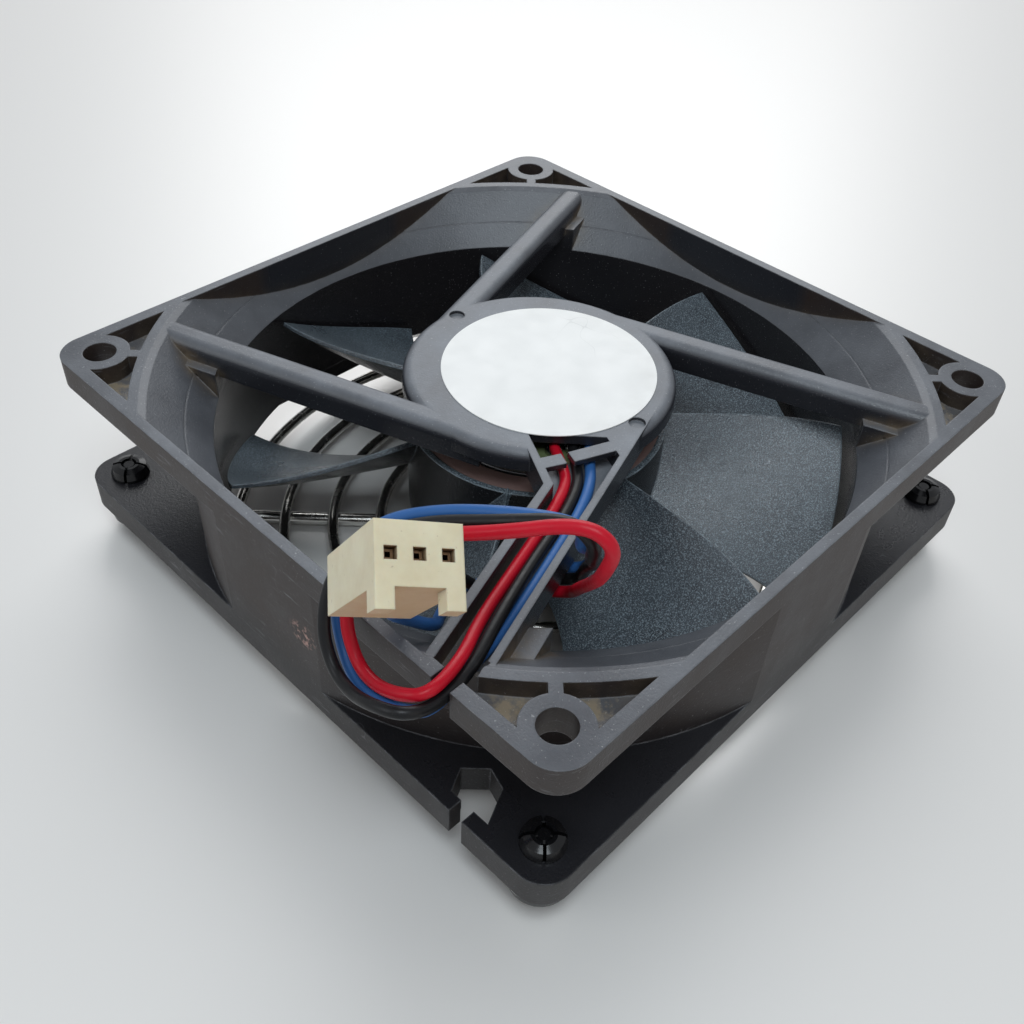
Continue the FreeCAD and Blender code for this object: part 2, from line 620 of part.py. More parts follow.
def bobbin_half(face, outward):
    """A bobbin half on one face of the stack, with a lip on each shoe, parted for the tape."""
    low, high = sorted((face, face + outward * BOBBIN_PLATE))
    plate = pole_plan(BOBBIN_RADIUS, POLE_SPREAD - 2, low, high)
    lip_low, lip_high = sorted((face, face + outward * (BOBBIN_PLATE + BOBBIN_LIP)))
    lip = sector(BOBBIN_RADIUS, POLE_NECK, BOBBIN_LIP_SPREAD, lip_low, lip_high)
    gap = sector(BOBBIN_RADIUS + MARGIN, POLE_NECK - MARGIN, TAPE_SPREAD + TAPE_MARGIN, lip_low, lip_high)
    return plate.fuse(ring_of(lip.cut(gap), POLE_COUNT, POLE_ANGLE)).fuse(plate).removeSplitter()


def coil():
    """One winding round an arm along +X, with rounded corners."""
    low = STATOR_LOW - BOBBIN_PLATE
    high = STATOR_TOP + BOBBIN_PLATE
    bundle = block((COIL_INNER, COIL_OUTER), (-COIL_WIDTH / 2, COIL_WIDTH / 2),
                   low - COIL_OVERHANG, high + COIL_OVERHANG)
    long_edges = [e for e in bundle.Edges if abs(e.Vertexes[0].X - e.Vertexes[1].X) > MARGIN]
    bundle = bundle.makeFillet(COIL_ROUND, long_edges)
    half = POLE_WIDTH / 2 + FIT_GAP
    return bundle.cut(block((0, FRAME_SIDE), (-half, half), low - FIT_GAP, high + FIT_GAP))


save("stator_core", pole_plan(POLE_RADIUS, POLE_SPREAD, STATOR_LOW, STATOR_TOP))
save("upper_bobbin", bobbin_half(STATOR_TOP + FIT_GAP, 1))
save("lower_bobbin", bobbin_half(STATOR_LOW - FIT_GAP, -1))
save("stator_coils", *ring_of(coil(), POLE_COUNT, POLE_ANGLE))
TAPE_LOW = STATOR_TOP + BOBBIN_PLATE + 2 * FIT_GAP
save("coil_tapes", *ring_of(sector(BOBBIN_RADIUS, POLE_NECK, TAPE_SPREAD, TAPE_LOW, TAPE_LOW + BOBBIN_LIP),
                            POLE_COUNT, POLE_ANGLE))
save("circuit_board", tube(BOARD_RADIUS, BOARD_BORE, BOARD_LOW, BOARD_TOP))


def chip(size, place, low=BOARD_TOP):
    """A flat component on the board, centred on its place. Only the sensor hangs under it."""
    x, y = place
    length, width, height = size
    return block((x - length / 2, x + length / 2), (y - width / 2, y + width / 2), low, low + height)


save("driver_chip", chip(CHIP_SIZE, CHIP_PLACE))
save("hall_sensor", chip(SENSOR_SIZE, SENSOR_PLACE, BOARD_LOW - SENSOR_SIZE[2]))
save("resistors", *[chip(RESISTOR_SIZE, place) for place in RESISTOR_PLACES])
save("capacitor", cylinder(CAPACITOR_RADIUS, BOARD_TOP, BOARD_TOP + CAPACITOR_HEIGHT, *CAPACITOR_PLACE))
COIL_TOP = STATOR_TOP + BOBBIN_PLATE + COIL_OVERHANG
winding_pin = cylinder(PIN_RADIUS, COIL_TOP + FIT_GAP, BOARD_LOW - FIT_GAP, PIN_CIRCLE)
save("winding_pins", *ring_of(winding_pin, POLE_COUNT, POLE_ANGLE))


# Finger guard and the rivets that hold it.

def support_wire():
    """A support wire along the diagonal: flat under the rings, cranked up to its eyelet."""
    hole = HALF_PITCH * math.sqrt(2)
    eyelet_edge = hole - EYELET_RADIUS
    path = rounded_path([(SUPPORT_START, 0, SUPPORT_WIRE), (SUPPORT_BEND_LOW, 0, SUPPORT_WIRE),
                         (SUPPORT_BEND_HIGH, 0, EYELET_HEIGHT), (eyelet_edge, 0, EYELET_HEIGHT)])
    eyelet = Part.makeTorus(EYELET_RADIUS, SUPPORT_WIRE, vec(hole, 0, EYELET_HEIGHT))
    return rod(path, SUPPORT_WIRE).fuse(eyelet)


def finger_guard():
    """The rings laid on the support wires and welded at each crossing."""
    rings = [Part.makeTorus(r, GUARD_RING_WIRE, vec(0, 0, GUARD_RING_HEIGHT)) for r in GUARD_RING_RADII]
    wires = ring_of(support_wire(), len(CORNERS), 45.0)
    return wires[0].fuse(wires[1:] + rings)


save("finger_guard", finger_guard())


def rivet_body():
    """A snap rivet: head under the eyelet, split shank, barbs over the flange."""
    body = revolve([(RIVET_BORE, RIVET_HEAD_LOW), (RIVET_HEAD_RADIUS - 0.6, RIVET_HEAD_LOW),
                    (RIVET_HEAD_RADIUS, RIVET_HEAD_LOW + 0.6), (RIVET_HEAD_RADIUS, RIVET_HEAD_TOP),
                    (RIVET_SHANK_RADIUS, RIVET_HEAD_TOP), (RIVET_SHANK_RADIUS, RIVET_BARB_LOW),
                    (RIVET_BARB_RADIUS, RIVET_BARB_LOW), (RIVET_BARB_RADIUS, RIVET_BARB_LOW + 0.4),
                    (RIVET_BARB_RADIUS - RIVET_DOME, RIVET_TIP - RIVET_DOME), (RIVET_TIP_RADIUS, RIVET_TIP),
                    (RIVET_BORE, RIVET_TIP)])
    slit = block((-FRAME_SIDE, FRAME_SIDE), (-RIVET_SLIT / 2, RIVET_SLIT / 2),
                 RIVET_SLIT_LOW, RIVET_TIP + MARGIN)
    return body.cut([turned(slit, 45), turned(slit, 135)])


def rivet_pin():
    """The pin that spreads the rivet, with a low domed head."""
    bore = RIVET_BORE - FIT_GAP
    return revolve([(0, PIN_HEAD_LOW), (PIN_HEAD_RADIUS - 0.5, PIN_HEAD_LOW),
                    (PIN_HEAD_RADIUS, PIN_HEAD_LOW + 0.4),
                    (PIN_HEAD_RADIUS, RIVET_HEAD_LOW - FIT_GAP), (bore, RIVET_HEAD_LOW - FIT_GAP),
                    (bore, RIVET_PIN_TOP - 0.3), (bore - 0.3, RIVET_PIN_TOP), (0, RIVET_PIN_TOP)])


save("guard_rivets", *[moved(rivet_body(), sx * HALF_PITCH, sy * HALF_PITCH) for sx, sy in CORNERS])
save("guard_rivet_pins", *[moved(rivet_pin(), sx * HALF_PITCH, sy * HALF_PITCH) for sx, sy in CORNERS])


# The plug: housing and crimped contacts, built upright and laid where it leans.

def plug_place():
    """The plug's axes as a matrix: its row, its upper side and the way its face looks."""
    facing = vec(*PLUG_FACING).normalize()
    row = vec(*PLUG_ROW)
    row = row.sub(facing * row.dot(facing)).normalize()
    upper = facing.cross(row)
    return FreeCAD.Matrix(row.x, upper.x, facing.x, PLUG_FRONT[0], row.y, upper.y, facing.y, PLUG_FRONT[1],
                          row.z, upper.z, facing.z, PLUG_FRONT[2], 0, 0, 0, 1)


def laid(shape):
    """A copy of a plug piece laid in its place."""
    copy = shape.copy()
    copy.transformShape(plug_place())
    return copy


PLUG_WAYS = (-PLUG_PITCH, 0.0, PLUG_PITCH)


def plug_housing():
    """The housing: a block with two guide legs at the face and a stepped cavity for each contact."""
    half = PLUG_WIDTH / 2
    body = block((-half, half), (-PLUG_HALF_HEIGHT, PLUG_HALF_HEIGHT), -PLUG_LENGTH, 0)
    low = -PLUG_HALF_HEIGHT - PLUG_LEG_DROP
    legs = [block(sorted((side * half, side * (half - PLUG_LEG_WIDTH))), (low, -PLUG_HALF_HEIGHT),
                  -PLUG_LEG_DEPTH, 0) for side in (-1, 1)]
    bores = ((PLUG_HOLE, -PLUG_LENGTH, MARGIN),
             (PLUG_CAVITY, -PLUG_LENGTH - MARGIN, -PLUG_LENGTH + PLUG_CAVITY_DEPTH))
    cuts = []
    for way in PLUG_WAYS:
        for width, bottom, top in bores:
            cuts.append(block((way - width / 2, way + width / 2), (-width / 2, width / 2), bottom, top))
    return body.fuse(legs).cut(cuts).removeSplitter()


CRIMP_LOW = -PLUG_LENGTH + PLUG_CAVITY_DEPTH - CRIMP_LENGTH


def contact(way):
    """A contact: a square box behind the hole and a crimp barrel in the cavity."""
    half = CONTACT_SIZE / 2
    top = CRIMP_LOW + CRIMP_LENGTH
    box = block((way - half, way + half), (-half, half), top - MARGIN, -CONTACT_FRONT)
    mouth = block((way - half / 2, way + half / 2), (-half / 2, half / 2), -CONTACT_FRONT - 3, 0)
    barrel = cylinder(CRIMP_RADIUS, CRIMP_LOW, top - FIT_GAP, way)
    return box.cut(mouth).fuse(barrel).removeSplitter()


save("plug_housing", laid(plug_housing()))
save("plug_contacts", *[laid(contact(way)) for way in PLUG_WAYS])


# The three leads: soldered to the board, led along the channel, looped once over and under it, then
# into the plug.

RED_ROUTE = (
    (-8.4, -10.6, 27.5), (-10.1, -13.7, 28.1), (-12.7, -17.4, 28.4), (-19.0, -19.6, 28.2),
    (-27.6, -22.6, 28.4), (-36.2, -25.7, 28.9), (-42.2, -29.05, 30.1), (-47.8, -30.3, 30.5),
    (-49.4, -27.4, 29.4), (-49.4, -23.8, 27.8), (-48.9, -20.6, 28.0), (-47.9, -17.8, 31.4),
    (-46.2, -17.4, 36.0), (-44.2, -19.6, 40.6), (-42.6, -24.4, 44.6), (-40.2, -31.4, 48.2),
    (-36.2, -37.8, 51.2), (-34.9, -41.5, 49.9), (-33.9, -39.5, 44.5), (-29.2, -34.2, 37.0),
    (-25.4, -29.9, 30.5), (-23.2, -27.3, 24.4), (-26.6, -23.5, 24.6), (-33.3, -21.3, 24.9),
    (-36.0, -20.2, 28.4), (-40.5, -19.6, 33.4), (-44.8, -21.0, 36.8), (-48.7, -22.3, 39.6),
    (-48.85, -24.5, 42.6),
)
BLACK_ROUTE = (
    (-6.2, -11.8, 27.5), (-8.1, -15.1, 28.1), (-11.6, -18.7, 28.4), (-18.0, -20.9, 28.2),
    (-27.0, -24.0, 28.9), (-36.4, -27.9, 29.7), (-42.0, -30.3, 29.3), (-47.4, -30.65, 28.1),
    (-50.8, -30.4, 28.6), (-51.9, -27.0, 28.2), (-51.5, -23.0, 26.8), (-50.9, -19.2, 27.4),
    (-49.8, -16.4, 30.6), (-47.0, -14.8, 34.8), (-43.4, -16.6, 39.0), (-41.2, -22.4, 43.9),
    (-38.8, -30.2, 47.8), (-35.2, -36.2, 50.2), (-33.6, -39.2, 47.9), (-31.8, -36.2, 43.2),
    (-27.3, -33.5, 37.0), (-23.5, -29.2, 30.5), (-21.2, -26.6, 24.4), (-24.5, -22.8, 24.6),
    (-30.8, -20.4, 24.9), (-33.6, -19.2, 28.8), (-40.5, -18.0, 34.8), (-46.0, -19.5, 36.2),
    (-50.8, -21.0, 40.2), (-50.95, -23.27, 43.36),
)
BLUE_ROUTE = (
    (-4.2, -13.1, 27.45), (-6.2, -16.3, 28.2), (-10.4, -19.9, 28.4), (-17.0, -22.1, 28.2),
    (-26.1, -25.3, 28.2), (-35.8, -28.3, 28.1), (-41.2, -29.2, 28.1), (-46.8, -29.9, 26.9),
    (-49.3, -28.4, 26.4), (-49.9, -25.2, 26.0), (-49.4, -21.6, 25.7), (-48.7, -18.2, 27.6),
    (-47.2, -15.4, 31.2), (-44.6, -14.4, 35.4), (-41.7, -16.2, 39.8), (-39.6, -22.0, 44.0),
    (-37.2, -28.8, 47.3), (-34.2, -34.2, 48.9), (-31.6, -36.3, 46.6), (-30.0, -33.8, 42.4),
    (-25.4, -32.9, 37.0), (-21.6, -28.6, 30.5), (-19.2, -26.0, 24.4), (-22.4, -22.1, 24.6),
    (-28.4, -19.5, 24.4), (-33.3, -18.2, 24.4), (-37.1, -20.2, 25.2), (-39.6, -22.5, 27.6),
    (-43.0, -21.8, 30.8), (-46.0, -22.2, 34.6), (-46.6, -23.6, 38.9), (-46.75, -25.7, 41.8),
)


def lead(name, route):
    """A lead: a round rod along its route."""
    path = rounded_path(route, name=name)
    solid = rod(path, LEAD_RADIUS)
    section = math.pi * LEAD_RADIUS ** 2
    print(name, "length", round(path.Length, 1), "volume over section x length",
          round(solid.Volume / (section * path.Length), 4))
    return solid


save("lead_red", lead("lead_red", RED_ROUTE))
save("lead_black", lead("lead_black", BLACK_ROUTE))
save("lead_blue", lead("lead_blue", BLUE_ROUTE))
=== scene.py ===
"""Looks of the cooling fan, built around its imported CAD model. Metres, in the model's own frame."""

import bpy
import numpy as np
from mathutils import Matrix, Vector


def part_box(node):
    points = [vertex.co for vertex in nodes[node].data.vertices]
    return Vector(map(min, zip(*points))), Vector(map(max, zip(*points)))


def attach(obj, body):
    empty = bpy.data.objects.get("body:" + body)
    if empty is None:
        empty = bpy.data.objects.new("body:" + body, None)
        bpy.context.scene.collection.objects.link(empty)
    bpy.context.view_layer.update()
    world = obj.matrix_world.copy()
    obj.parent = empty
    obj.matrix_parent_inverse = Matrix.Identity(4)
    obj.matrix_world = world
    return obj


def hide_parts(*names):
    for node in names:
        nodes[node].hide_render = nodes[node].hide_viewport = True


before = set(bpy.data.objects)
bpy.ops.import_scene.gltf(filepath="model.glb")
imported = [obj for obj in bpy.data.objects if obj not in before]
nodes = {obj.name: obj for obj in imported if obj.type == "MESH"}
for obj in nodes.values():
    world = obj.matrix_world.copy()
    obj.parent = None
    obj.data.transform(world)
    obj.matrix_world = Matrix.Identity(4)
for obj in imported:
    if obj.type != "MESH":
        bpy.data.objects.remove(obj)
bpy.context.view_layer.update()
MM = 0.001


# The table is a plain pale satin sheet, in a soft room that looks pale but gives little light.
# Cool softboxes hang behind the fan, over it and on the left, and a low warm one stands in front.
# The camera looks down at the near corner, at the photograph's angle and lens.
TABLE_HALF = 3.0
TABLE_COLOUR = (0.80, 0.785, 0.765, 1)
TABLE_ROUGH = 0.46
TABLE_SHEEN = 0.28
ROOM_COLOUR = (0.93, 0.96, 1.0, 1)
ROOM_STRENGTH = 0.16
ROOM_SEEN = 0.70
SOFTBOXES = {
    "softbox_back": {"place": (0.42, 0.38, 0.44), "side": 0.50, "power": 2.3, "colour": (0.98, 0.99, 1.0)},
    "softbox_over": {"place": (-0.17, -0.22, 0.62), "side": 0.30, "power": 2.1, "colour": (0.85, 0.94, 1.0)},
    "softbox_left": {"place": (-0.55, 0.22, 0.40), "side": 0.38, "power": 0.8, "colour": (0.93, 0.97, 1.0)},
    "softbox_front": {"place": (0.06, -0.62, 0.24), "side": 0.40, "power": 0.25, "colour": (1.0, 0.86, 0.70)},
}
CAMERA_PLACE = (-0.09033, -0.07809, 0.11481)
CAMERA_AZIMUTH = np.radians(-47.923)
CAMERA_ELEVATION = np.radians(43.057)
CAMERA_ROLL = np.radians(-3.497)
CAMERA_LENS = 37.951
CAMERA_SENSOR = 36.0
CAMERA_NEAR = 0.005


def add(tree, kind, sockets=None, **settings):
    """Adds a shader node, sets its options and fills its sockets with numbers or other nodes' outputs."""
    made = tree.nodes.new("ShaderNode" + kind)
    for key, value in settings.items():
        setattr(made, key, value)
    for key, value in (sockets or {}).items():
        if isinstance(value, bpy.types.NodeSocket):
            tree.links.new(value, made.inputs[key])
        else:
            made.inputs[key].default_value = value
    return made


def shader(name, **sockets):
    """A new material, its node tree, its main shader with the given sockets, and the piece's coordinates."""
    material = bpy.data.materials.new(name)
    material.use_nodes = True
    tree = material.node_tree
    surface = tree.nodes["Principled BSDF"]
    for key, value in sockets.items():
        surface.inputs[key.replace("_", " ")].default_value = value
    return material, tree, surface, add(tree, "TexCoord").outputs["Object"]


def hang(name, data, back, right, place):
    """Puts a lamp or the camera at a place, with its back and its right-hand side turned as given."""
    axes = np.eye(4)
    axes[:3, :4] = np.column_stack([right, np.cross(back, right), back, place])
    holder = bpy.data.objects.new(name, data)
    holder.matrix_world = Matrix(axes.tolist())
    bpy.context.scene.collection.objects.link(holder)
    return holder


table_top = bpy.data.meshes.new("table_top")
table_top.from_pydata([(-TABLE_HALF, -TABLE_HALF, 0), (TABLE_HALF, -TABLE_HALF, 0),
                       (TABLE_HALF, TABLE_HALF, 0), (-TABLE_HALF, TABLE_HALF, 0)], [], [(0, 1, 2, 3)])
table = bpy.data.objects.new("table_top", table_top)
bpy.context.scene.collection.objects.link(table)
table_finish = shader("pale_table", Base_Color=TABLE_COLOUR, Roughness=TABLE_ROUGH, Metallic=TABLE_SHEEN)[0]
table_top.materials.append(table_finish)

room = bpy.data.worlds.new("pale_room")
room.use_nodes = True
sky = room.node_tree.nodes["Background"].inputs
sky["Color"].default_value = ROOM_COLOUR
ray = add(room.node_tree, "LightPath").outputs
seen = ray["Is Camera Ray"]
for kind in ("Is Glossy Ray", "Is Transmission Ray"):
    seen = add(room.node_tree, "Math", {0: seen, 1: ray[kind]}, operation="MAXIMUM").outputs[0]
strength = add(room.node_tree, "MapRange", {"Value": seen, "To Min": ROOM_STRENGTH, "To Max": ROOM_SEEN})
room.node_tree.links.new(strength.outputs["Result"], sky["Strength"])
bpy.context.scene.world = room

for name, box in SOFTBOXES.items():
    lamp = bpy.data.lights.new(name, "AREA")
    lamp.size = box["side"]
    lamp.energy = box["power"]
    lamp.color = box["colour"]
    back = np.array(box["place"]) / np.linalg.norm(box["place"])
    right = np.cross((0, 0, 1), back)
    hang(name, lamp, back, right / np.linalg.norm(right), box["place"])

lens = bpy.data.cameras.new("photograph_view")
lens.sensor_width = CAMERA_SENSOR
lens.lens = CAMERA_LENS
lens.clip_start = CAMERA_NEAR
back = np.array([np.sin(CAMERA_AZIMUTH) * np.cos(CAMERA_ELEVATION),
                 -np.cos(CAMERA_AZIMUTH) * np.cos(CAMERA_ELEVATION), np.sin(CAMERA_ELEVATION)])
level = np.cross(-back, (0, 0, 1))
level /= np.linalg.norm(level)
down = np.cross(-back, level)
right = np.cos(CAMERA_ROLL) * level + np.sin(CAMERA_ROLL) * down
bpy.context.scene.camera = hang("photograph_view", lens, back, right, CAMERA_PLACE)
bpy.context.scene.view_settings.view_transform = "Standard"


# The frame is one black moulding: two square flanges, the duct between them, four struts and the
# motor base, with a channel for the leads in one strut. Its skin is finely grained and satin, with
# rubbed edges, a pale film of dust on up-facing tops that is also painted sheen, paler the higher the
# top stands, dark brown grime on the outer sides that is also a painted brown reflection of the table,
# brown dust in the corners, and painted shade inside the duct and towards the bottom.
FRAME_BLACK = (0.018, 0.019, 0.024, 1)
FRAME_PALE = (0.034, 0.037, 0.046, 1)
DUCT_PAINTED_SHADE = (0.014, 0.013, 0.015, 1)
LOWER_PAINTED_SHADE = (0.008, 0.007, 0.008, 1)
RUBBED_EDGE = (0.240, 0.245, 0.260, 1)
DUST_AND_SHEEN_FILM = (0.215, 0.229, 0.254, 1)
DUST_SPECK = (0.520, 0.520, 0.520, 1)
DUST_BROWN = (0.270, 0.220, 0.155, 1)
CREVICE_BROWN = (0.175, 0.136, 0.094, 1)
SIDE_GRIME_AND_REFLECTION = (0.026, 0.017, 0.014, 1)
SCRAPE_COLOUR = (0.420, 0.250, 0.210, 1)
SCRAPE_PLACE = (-46.0 * MM, -6.6 * MM, 17.8 * MM)
SCRAPE_REACH = (2.6 * MM, 1.2 * MM)
HALF_SIDE = 46.0 * MM
EDGE_ROUND = 0.30 * MM
FRAME_GRAIN_PER_METRE = 3600
FRAME_GRAIN_DEPTH = 0.05 * MM
DUST_AND_SHEEN_HEIGHTS = (12 * MM, 27 * MM)
FILM_RADII = (58 * MM, 18 * MM)
LOWER_HEIGHTS = (16 * MM, 9 * MM)
DUCT_HEIGHTS = (26.5 * MM, 23.5 * MM)
POCKET_FLOOR = 27.8 * MM
POCKET_RADII = (52 * MM, 54 * MM)
CREVICE_REACH = 3.2 * MM
CREVICE_HEIGHTS = (20 * MM, 26 * MM)
CREVICE_RADII = (22 * MM, 38 * MM)
CREVICE_END = (49 * MM, 52 * MM)


def noise(tree, place, per_metre, detail=2.0, rough=0.55):
    """Soft noise over a piece, its grain given as turns per metre."""
    sockets = {"Vector": place, "Scale": per_metre, "Detail": detail, "Roughness": rough}
    return add(tree, "TexNoise", sockets).outputs["Fac"]


def ramp(tree, value, low, high, bottom=0.0, top=1.0):
    """A value carried from one range to another and held at its ends."""
    sockets = {"Value": value, "From Min": low, "From Max": high, "To Min": bottom, "To Max": top}
    return add(tree, "MapRange", sockets).outputs["Result"]


def times(tree, first, *others):
    """The product of two or more values."""
    for other in others:
        first = add(tree, "Math", {0: first, 1: other}, operation="MULTIPLY").outputs[0]
    return first


def most(tree, first, *others):
    """The largest of two or more values."""
    for other in others:
        first = add(tree, "Math", {0: first, 1: other}, operation="MAXIMUM").outputs[0]
    return first


def size(tree, value):
    """A value without its sign."""
    return add(tree, "Math", {0: value}, operation="ABSOLUTE").outputs[0]


def mix(tree, share, first, second):
    """Two colours mixed by a share that changes over the piece."""
    return add(tree, "Mix", {0: share, 6: first, 7: second}, data_type="RGBA").outputs[2]


def near(tree, value, middle, reach):
    """One at a value, falling to nothing at a distance to either side of it."""
    off = add(tree, "Math", {0: value, 1: middle}, operation="SUBTRACT").outputs[0]
    return ramp(tree, size(tree, off), 0.0, reach, 1.0, 0.0)


def hairlines(tree, place, per_metre, width, share):
    """Thin wandering lines, where a wide noise crosses its middle, kept on a share of the piece."""
    line = near(tree, noise(tree, place, per_metre, 1.0), 0.5, width)
    return times(tree, line, ramp(tree, noise(tree, place, 0.8 * per_metre, 2), 1 - share, 1.06 - share))


def relief(tree, surface, height, depth, normal=None, strength=1.0):
    """A bump of that depth in metres on the shader, over a rounded normal where one is given."""
    sockets = {"Height": height, "Distance": depth, "Strength": strength}
    if normal is not None:
        sockets["Normal"] = normal
    bump = add(tree, "Bump", sockets)
    tree.links.new(bump.outputs["Normal"], surface.inputs["Normal"])


def crevices(tree, reach, start, full):
    """A share that grows in the corners and hollows of a piece, where its own walls stand within reach."""
    open_share = add(tree, "AmbientOcclusion", {"Distance": reach}, samples=6, only_local=True).outputs["AO"]
    return ramp(tree, open_share, start, full)


def edges(tree, radius):
    """The normal rounded over the edges of a piece, and a share that is one on those edges."""
    rounded = add(tree, "Bevel", {"Radius": radius}, samples=4).outputs["Normal"]
    flat = add(tree, "NewGeometry").outputs["Normal"]
    agree = add(tree, "VectorMath", {0: rounded, 1: flat}, operation="DOT_PRODUCT").outputs["Value"]
    return rounded, ramp(tree, agree, 0.955, 0.82)


def from_axis(tree, place):
    """The distance of each point from the fan's axis."""
    flat = add(tree, "VectorMath", {0: place, 1: (1, 1, 0)}, operation="MULTIPLY").outputs[0]
    return add(tree, "VectorMath", {0: flat}, operation="LENGTH").outputs["Value"]


def upness(tree):
    """The upward part of the normal, one on a level top and minus one underneath."""
    return add(tree, "SeparateXYZ", {0: add(tree, "NewGeometry").outputs["Normal"]}).outputs["Z"]


def dress(material, *names):
    """Puts a finish on CAD nodes."""
    for name in names:
        for slot in nodes[name].material_slots:
            slot.material = material


frame_finish, tree, surface, place = shader("grained_black_moulding", Specular_IOR_Level=0.42)
axis = add(tree, "SeparateXYZ", {0: place}).outputs
facing = upness(tree)
radius = from_axis(tree, place)
aside = most(tree, size(tree, axis["X"]), size(tree, axis["Y"]))
rounded, edge = edges(tree, EDGE_ROUND)
rubbed = times(tree, edge, ramp(tree, noise(tree, place, 420, 4), 0.40, 0.66, 0.10, 0.85))
upward = ramp(tree, facing, 0.42, 0.98)
upright = ramp(tree, size(tree, facing), 0.6, 0.2)
high = ramp(tree, axis["Z"], *DUST_AND_SHEEN_HEIGHTS, 0.04, 1.0)
# Painted shade: the frame is painted darker towards the bottom, below 16 mm, where the lower flange lies in
# shade.
lower = ramp(tree, axis["Z"], *LOWER_HEIGHTS, 0.0, 0.8)
# A pale film of dust on up-facing tops that is also painted sheen: it is painted paler the higher the top
# stands and fades on the shaded lower tops.
dust_and_sheen = times(tree, upward, high, ramp(tree, radius, *FILM_RADII, 0.62, 1.15),
             ramp(tree, noise(tree, place, 130, 5, 0.62), 0.28, 0.72, 0.34, 0.92))
specks = times(tree, most(tree, times(tree, upward, high), times(tree, upright, 0.45)),
               ramp(tree, noise(tree, place, 3900, 1, 0.5), 0.70, 0.77, 0.0, 0.42))
pocket = times(tree, near(tree, axis["Z"], POCKET_FLOOR, 0.5 * MM), ramp(tree, radius, *POCKET_RADII), upward)
settled = times(tree, pocket, ramp(tree, noise(tree, place, 300, 6, 0.7), 0.46, 0.60, 0.02, 1.0))
caught = times(tree, crevices(tree, CREVICE_REACH, 0.86, 0.46), ramp(tree, axis["Z"], *CREVICE_HEIGHTS),
               ramp(tree, radius, *CREVICE_RADII), ramp(tree, radius, *CREVICE_END, 1.0, 0.3),
               ramp(tree, noise(tree, place, 330, 5, 0.65), 0.32, 0.60, 0.15, 0.95))
drawn = add(tree, "VectorMath", {0: place, 1: (0.10, 0.10, 1.0)}, operation="MULTIPLY").outputs[0]
streaks = times(tree, upright, ramp(tree, noise(tree, drawn, 1900, 3, 0.6), 0.62, 0.74, 0.0, 0.5),
                ramp(tree, noise(tree, place, 90, 3), 0.42, 0.62))
outer = most(tree, ramp(tree, aside, HALF_SIDE - 1.4 * MM, HALF_SIDE - 0.6 * MM),
             ramp(tree, radius, HALF_SIDE + 0.1 * MM, HALF_SIDE + 0.7 * MM))
# Dark brown grime on the outer side walls, which also paints in the brown reflection of the table there.
grime_and_reflection = times(tree, upright, outer, ramp(tree, noise(tree, place, 110, 5, 0.65), 0.25, 0.65, 0.60, 1.0))
# Painted shade: the upright faces inside the duct, the struts' sides and the base's sides are painted darker,
# more so deeper down, as shade falls there.
duct = times(tree, upright, ramp(tree, outer, 0.0, 1.0, 1.0, 0.0),
             ramp(tree, axis["Z"], *DUCT_HEIGHTS, 0.3, 1.0))
scratch = times(tree, most(tree, outer, upward), hairlines(tree, place, 210, 0.004, 0.36), 0.35)
far = add(tree, "VectorMath", {0: place, 1: SCRAPE_PLACE}, operation="DISTANCE").outputs["Value"]
scrape = times(tree, ramp(tree, far, *SCRAPE_REACH), ramp(tree, noise(tree, place, 1400, 4, 0.7), 0.50, 0.60))
colour = mix(tree, noise(tree, place, 70, 4), FRAME_BLACK, FRAME_PALE)
colour = mix(tree, duct, colour, DUCT_PAINTED_SHADE)
colour = mix(tree, grime_and_reflection, colour, SIDE_GRIME_AND_REFLECTION)
colour = mix(tree, lower, colour, LOWER_PAINTED_SHADE)
colour = mix(tree, dust_and_sheen, colour, DUST_AND_SHEEN_FILM)
colour = mix(tree, caught, colour, CREVICE_BROWN)
colour = mix(tree, settled, colour, DUST_BROWN)
colour = mix(tree, most(tree, rubbed, scratch, times(tree, streaks, outer)), colour, RUBBED_EDGE)
colour = mix(tree, specks, colour, DUST_SPECK)
colour = mix(tree, scrape, colour, SCRAPE_COLOUR)
tree.links.new(colour, surface.inputs["Base Color"])
dulled = most(tree, dust_and_sheen, settled, caught, grime_and_reflection)
tree.links.new(ramp(tree, dulled, 0.0, 0.9, 0.27, 0.52), surface.inputs["Roughness"])
relief(tree, surface, noise(tree, place, FRAME_GRAIN_PER_METRE, 2, 0.6), FRAME_GRAIN_DEPTH, rounded, 0.75)
dress(frame_finish, "frame")


# The stator stands on the motor base: a turned brass tube, pressed steel laminations between two
# nylon bobbins, four copper windings held with yellow tape, and tinned pins up to the board.
BRASS = (0.60, 0.43, 0.17, 1)
LAMINATION = (0.30, 0.30, 0.31, 1)
LAMINATION_PITCH = 0.5 * MM
LAMINATION_RELIEF = 0.04 * MM
BOBBIN_NYLON = (0.62, 0.58, 0.46, 1)
COPPER = (0.62, 0.25, 0.10, 1)
WINDING_PITCH = 0.22 * MM
WINDING_RELIEF = 0.05 * MM
TAPE_YELLOW = (0.80, 0.50, 0.06, 1)
TIN = (0.62, 0.61, 0.58, 1)


def clouded(name, colour, rough=(0.35, 0.5), grain=1200, depth=0.01 * MM, swing=0.25, **sockets):
    """A finish clouded between two close shades of a colour, with uneven gloss and a fine relief."""
    material, tree, surface, place = shader(name, **sockets)
    darker = tuple((1 - swing) * c for c in colour[:3]) + (1,)
    shade = mix(tree, noise(tree, place, grain / 8, 5, 0.6), darker, colour)
    tree.links.new(shade, surface.inputs["Base Color"])
    gloss = ramp(tree, noise(tree, place, grain / 3, 3), 0.3, 0.7, *rough)
    tree.links.new(gloss, surface.inputs["Roughness"])
    relief(tree, surface, noise(tree, place, grain, 2), depth)
    return material, tree, surface, place


